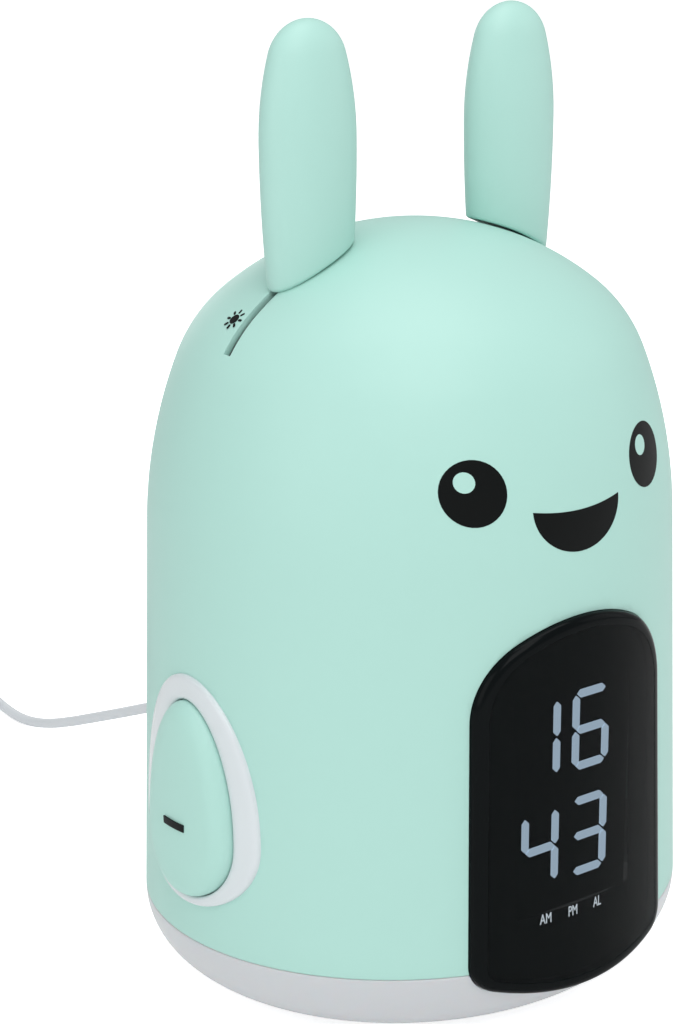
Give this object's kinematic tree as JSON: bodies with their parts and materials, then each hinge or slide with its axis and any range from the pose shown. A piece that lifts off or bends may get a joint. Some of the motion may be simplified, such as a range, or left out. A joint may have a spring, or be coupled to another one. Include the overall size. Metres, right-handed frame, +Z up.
{
  "type": "bedside alarm clock with night light",
  "caption": "Upright rounded bedside alarm clock with two tilting ears, a front digit display, oval side keys, a lit base ring and a low-voltage lead.",
  "frame": {"origin": "on the surface that the clock stands on, under the middle of its body", "axes": "+Z up; the display faces -Y; +X is to the right of a person looking at the display"},
  "size_m": [0.1583, 0.3357, 0.2345],
  "materials": {
    "mint_shell": "satin",
    "ear_mint": "satin",
    "key_mint": "satin",
    "white_ring": "gloss",
    "lit_base": "satin",
    "black_bezel": "gloss",
    "smoked_lens": "gloss",
    "display_black": "matte",
    "digit_light": "lit",
    "mark_black": "matte",
    "under_cover": "matte",
    "foot_rubber": "matte",
    "steel_screw": "plain",
    "cell_steel": "plain",
    "inner_plastic": "matte",
    "board_green": "satin",
    "chip_black": "matte",
    "lamp_lens": "gloss",
    "speaker_black": "matte",
    "rear_mint": "satin",
    "rear_key_white": "satin",
    "cord_white": "satin",
    "plug_white": "satin",
    "usb_steel": "plain"
  },
  "bodies": {
    "body": {"body_shell": "mint_shell", "base_light_ring": "lit_base", "bottom_cover": "under_cover", "rubber_feet": "foot_rubber", "chassis": "inner_plastic", "cover_screws": "steel_screw", "chassis_screws": "steel_screw", "main_board": "board_green", "main_board_parts": "chip_black", "night_light_board": "board_green", "night_light_lamps": "lamp_lens", "cell_door": "under_cover", "backup_cell": "cell_steel", "cell_holder": "inner_plastic", "display_bezel": "black_bezel", "display_lens": "smoked_lens", "display_mask": "display_black", "display_module": "display_black", "display_board": "board_green", "digit_segments": "digit_light", "key_ring_minus": "white_ring", "key_ring_plus": "white_ring", "key_board_minus": "board_green", "key_board_plus": "board_green", "key_switches": "chip_black", "ear_left_guide": "inner_plastic", "ear_right_guide": "inner_plastic", "ear_switches": "chip_black", "rear_panel": "rear_mint", "rear_key_board": "board_green", "rear_switches": "chip_black", "speaker": "speaker_black", "speaker_gasket": "foot_rubber", "power_inlet": "speaker_black", "power_plug": "plug_white", "cord_lead": "cord_white", "cord_coil": "cord_white", "usb_grip": "plug_white", "usb_shell": "usb_steel", "usb_tongue": "plug_white"},
    "side_key_minus": {"key_minus": "key_mint", "minus_mark": "mark_black"},
    "side_key_plus": {"key_plus": "key_mint", "plus_mark": "mark_black"},
    "back_key_1": {"rear_key_1": "rear_key_white"},
    "back_key_2": {"rear_key_2": "rear_key_white"},
    "back_key_3": {"rear_key_3": "rear_key_white"},
    "back_key_4": {"rear_key_4": "rear_key_white"},
    "ear_left": {"ear_left_shell": "ear_mint", "ear_left_stem": "inner_plastic", "ear_left_slider": "inner_plastic", "ear_left_screw": "steel_screw"},
    "ear_right": {"ear_right_shell": "ear_mint", "ear_right_stem": "inner_plastic", "ear_right_slider": "inner_plastic", "ear_right_screw": "steel_screw"}
  },
  "joints": [
    {"name": "side_key_minus_press", "type": "slide", "parent": "body", "child": "side_key_minus", "axis": [1, 0, 0], "range_m": [0, 0.0012], "stiffness_N_per_m": 900, "springref_m": -0.0012},
    {"name": "side_key_plus_press", "type": "slide", "parent": "body", "child": "side_key_plus", "axis": [-1, 0, 0], "range_m": [0, 0.0012], "stiffness_N_per_m": 900, "springref_m": -0.0012},
    {"name": "back_key_1_press", "type": "slide", "parent": "body", "child": "back_key_1", "axis": [0, -1, 0], "range_m": [0, 0.0008], "stiffness_N_per_m": 900, "springref_m": -0.0008},
    {"name": "back_key_2_press", "type": "slide", "parent": "body", "child": "back_key_2", "axis": [0, -1, 0], "range_m": [0, 0.0008], "stiffness_N_per_m": 900, "springref_m": -0.0008},
    {"name": "back_key_3_press", "type": "slide", "parent": "body", "child": "back_key_3", "axis": [0, -1, 0], "range_m": [0, 0.0008], "stiffness_N_per_m": 900, "springref_m": -0.0008},
    {"name": "back_key_4_press", "type": "slide", "parent": "body", "child": "back_key_4", "axis": [0, -1, 0], "range_m": [0, 0.0008], "stiffness_N_per_m": 900, "springref_m": -0.0008},
    {"name": "ear_left_tilt", "type": "hinge", "parent": "body", "child": "ear_left", "pos_m": [0, 0, 0.1115], "axis": [0, -1, 0], "range_deg": [0, 20]},
    {"name": "ear_right_tilt", "type": "hinge", "parent": "body", "child": "ear_right", "pos_m": [0, 0, 0.1115], "axis": [0, 1, 0], "range_deg": [0, 20]}
  ]
}
